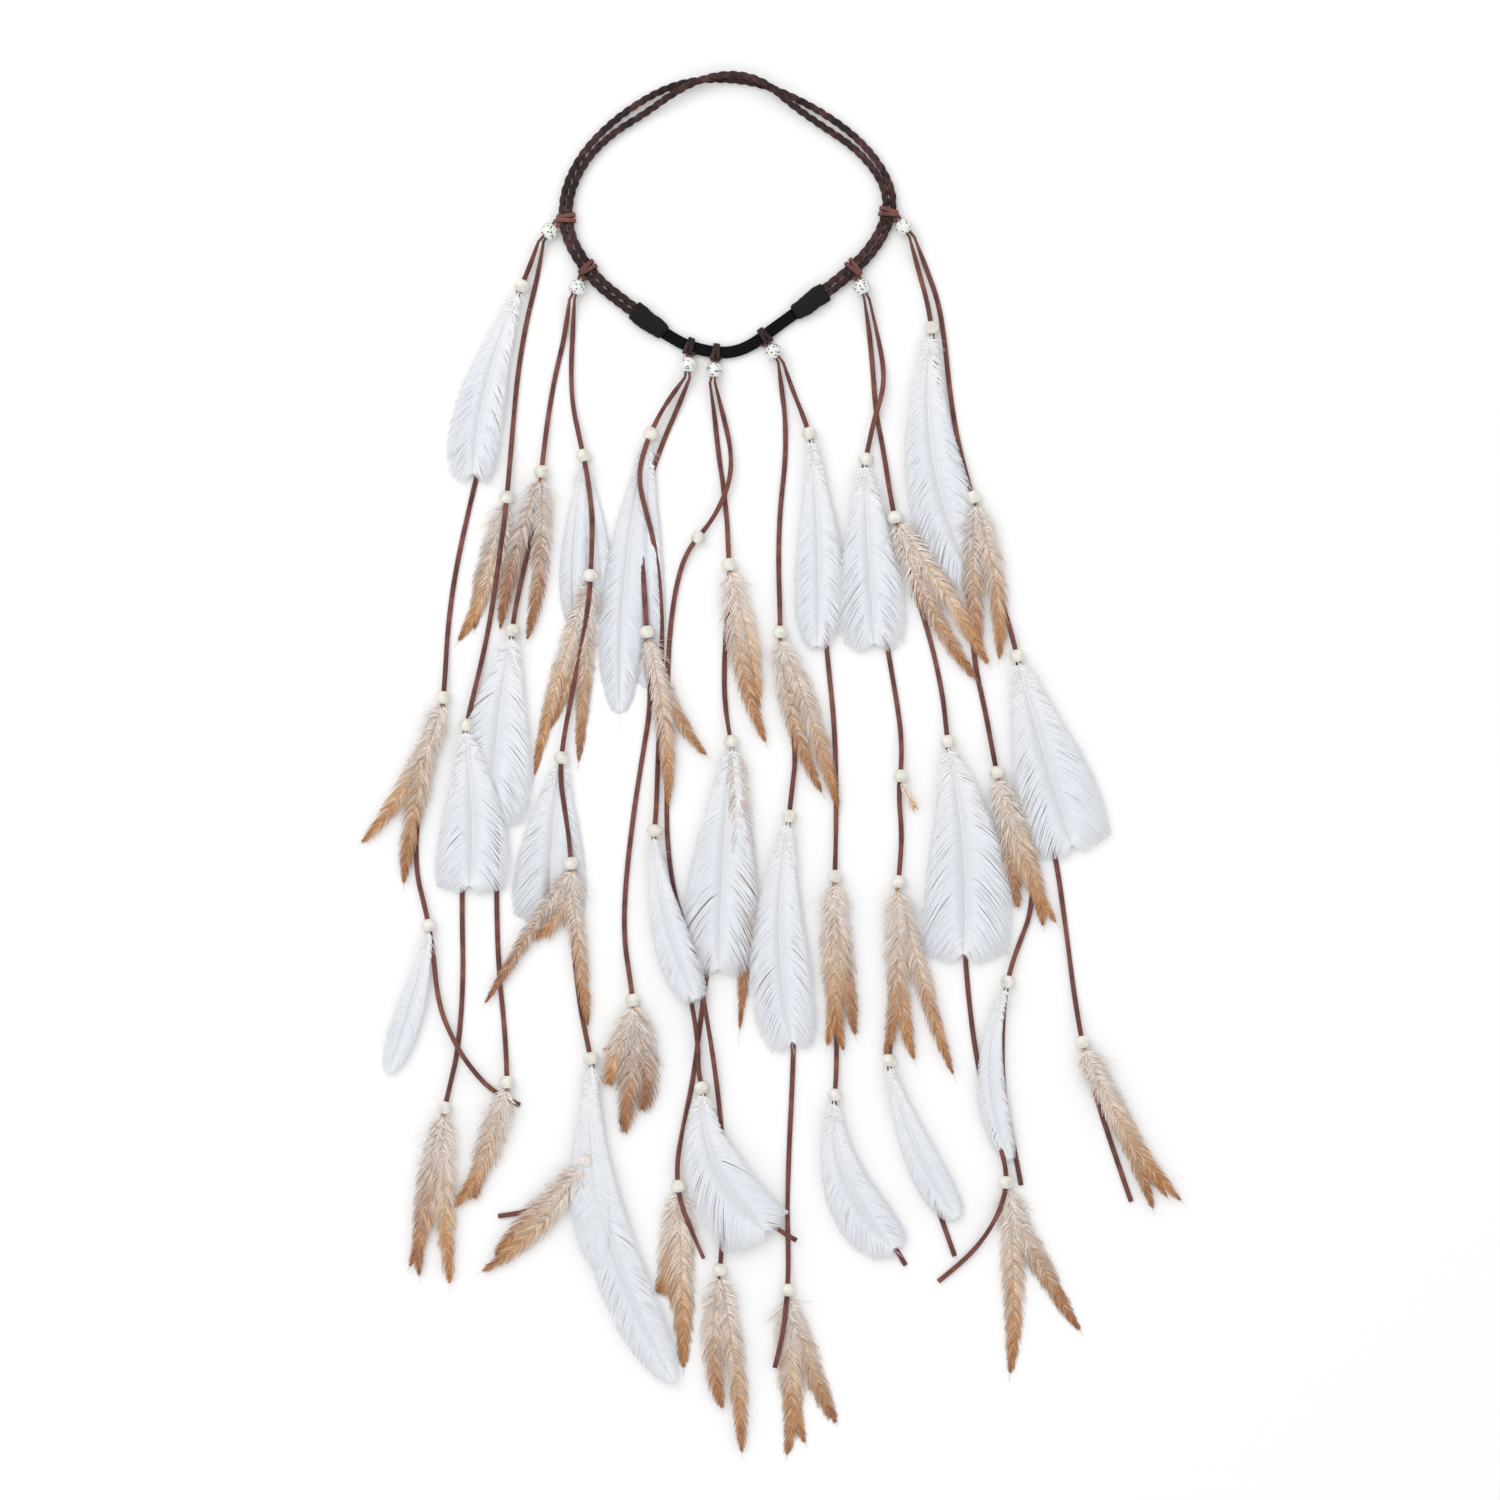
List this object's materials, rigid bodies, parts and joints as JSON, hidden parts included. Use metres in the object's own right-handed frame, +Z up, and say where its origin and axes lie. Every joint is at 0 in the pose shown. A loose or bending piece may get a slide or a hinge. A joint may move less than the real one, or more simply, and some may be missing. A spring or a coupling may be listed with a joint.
{
  "type": "feather headband",
  "caption": "Braided headband with an elastic back and seven hanging tassels, each two laces strung with beads and feathers, laid flat.",
  "frame": {"origin": "middle of the opening for the head, at the level of the table that the headband lies on", "axes": "+Z up, away from the table; +Y away from the tassels, towards the top of the band; +X to the right seen from above"},
  "size_m": [0.4508, 0.7616, 0.0095],
  "materials": {
    "braid": "matt braided suede cord",
    "elastic": "woven",
    "sleeve": "matt wrap",
    "lace": "suede",
    "speckled_bead": "glossy with coloured specks",
    "wood_bead": "painted, satin",
    "white_feather": "soft",
    "brown_feather": "soft"
  },
  "bodies": {
    "headband": {"braid_outer": "braid", "braid_inner": "braid", "elastic_band": "elastic", "sleeve_left": "sleeve", "sleeve_right": "sleeve", "hitch_1": "lace", "knot_bead_1": "speckled_bead", "hitch_2": "lace", "knot_bead_2": "speckled_bead", "hitch_3": "lace", "knot_bead_3": "speckled_bead", "hitch_4": "lace", "knot_bead_4": "speckled_bead", "hitch_5": "lace", "knot_bead_5": "speckled_bead", "hitch_6": "lace", "knot_bead_6": "speckled_bead", "hitch_7": "lace", "knot_bead_7": "speckled_bead"},
    "tassel_1": {"lace_1a": "lace", "lace_1b": "lace", "wood_beads_1": "wood_bead", "white_feathers_1": "white_feather", "brown_feathers_1": "brown_feather"},
    "tassel_2": {"lace_2a": "lace", "lace_2b": "lace", "wood_beads_2": "wood_bead", "white_feathers_2": "white_feather", "brown_feathers_2": "brown_feather"},
    "tassel_3": {"lace_3a": "lace", "lace_3b": "lace", "wood_beads_3": "wood_bead", "white_feathers_3": "white_feather", "brown_feathers_3": "brown_feather"},
    "tassel_4": {"lace_4a": "lace", "lace_4b": "lace", "wood_beads_4": "wood_bead", "white_feathers_4": "white_feather", "brown_feathers_4": "brown_feather"},
    "tassel_5": {"lace_5a": "lace", "lace_5b": "lace", "wood_beads_5": "wood_bead", "white_feathers_5": "white_feather", "brown_feathers_5": "brown_feather"},
    "tassel_6": {"lace_6a": "lace", "lace_6b": "lace", "wood_beads_6": "wood_bead", "white_feathers_6": "white_feather", "brown_feathers_6": "brown_feather"},
    "tassel_7": {"lace_7a": "lace", "lace_7b": "lace", "wood_beads_7": "wood_bead", "white_feathers_7": "white_feather", "brown_feathers_7": "brown_feather"}
  },
  "joints": [
    {"name": "tassel_1_lift", "type": "hinge", "parent": "headband", "child": "tassel_1", "pos_m": [-0.1032, -0.0158, 0.00475], "axis": [-1, 0, 0], "range_deg": [0, 90]},
    {"name": "tassel_2_lift", "type": "hinge", "parent": "headband", "child": "tassel_2", "pos_m": [-0.0862, -0.0476, 0.00475], "axis": [-1, 0, 0], "range_deg": [0, 90]},
    {"name": "tassel_3_lift", "type": "hinge", "parent": "headband", "child": "tassel_3", "pos_m": [-0.0229, -0.0904, 0.00475], "axis": [-1, 0, 0], "range_deg": [0, 90]},
    {"name": "tassel_4_lift", "type": "hinge", "parent": "headband", "child": "tassel_4", "pos_m": [-0.0091, -0.0932, 0.00475], "axis": [-1, 0, 0], "range_deg": [0, 90]},
    {"name": "tassel_5_lift", "type": "hinge", "parent": "headband", "child": "tassel_5", "pos_m": [0.0284, -0.0822, 0.00475], "axis": [-1, 0, 0], "range_deg": [0, 90]},
    {"name": "tassel_6_lift", "type": "hinge", "parent": "headband", "child": "tassel_6", "pos_m": [0.0756, -0.0474, 0.00475], "axis": [-1, 0, 0], "range_deg": [0, 90]},
    {"name": "tassel_7_lift", "type": "hinge", "parent": "headband", "child": "tassel_7", "pos_m": [0.1004, -0.0134, 0.00475], "axis": [-1, 0, 0], "range_deg": [0, 90]}
  ]
}
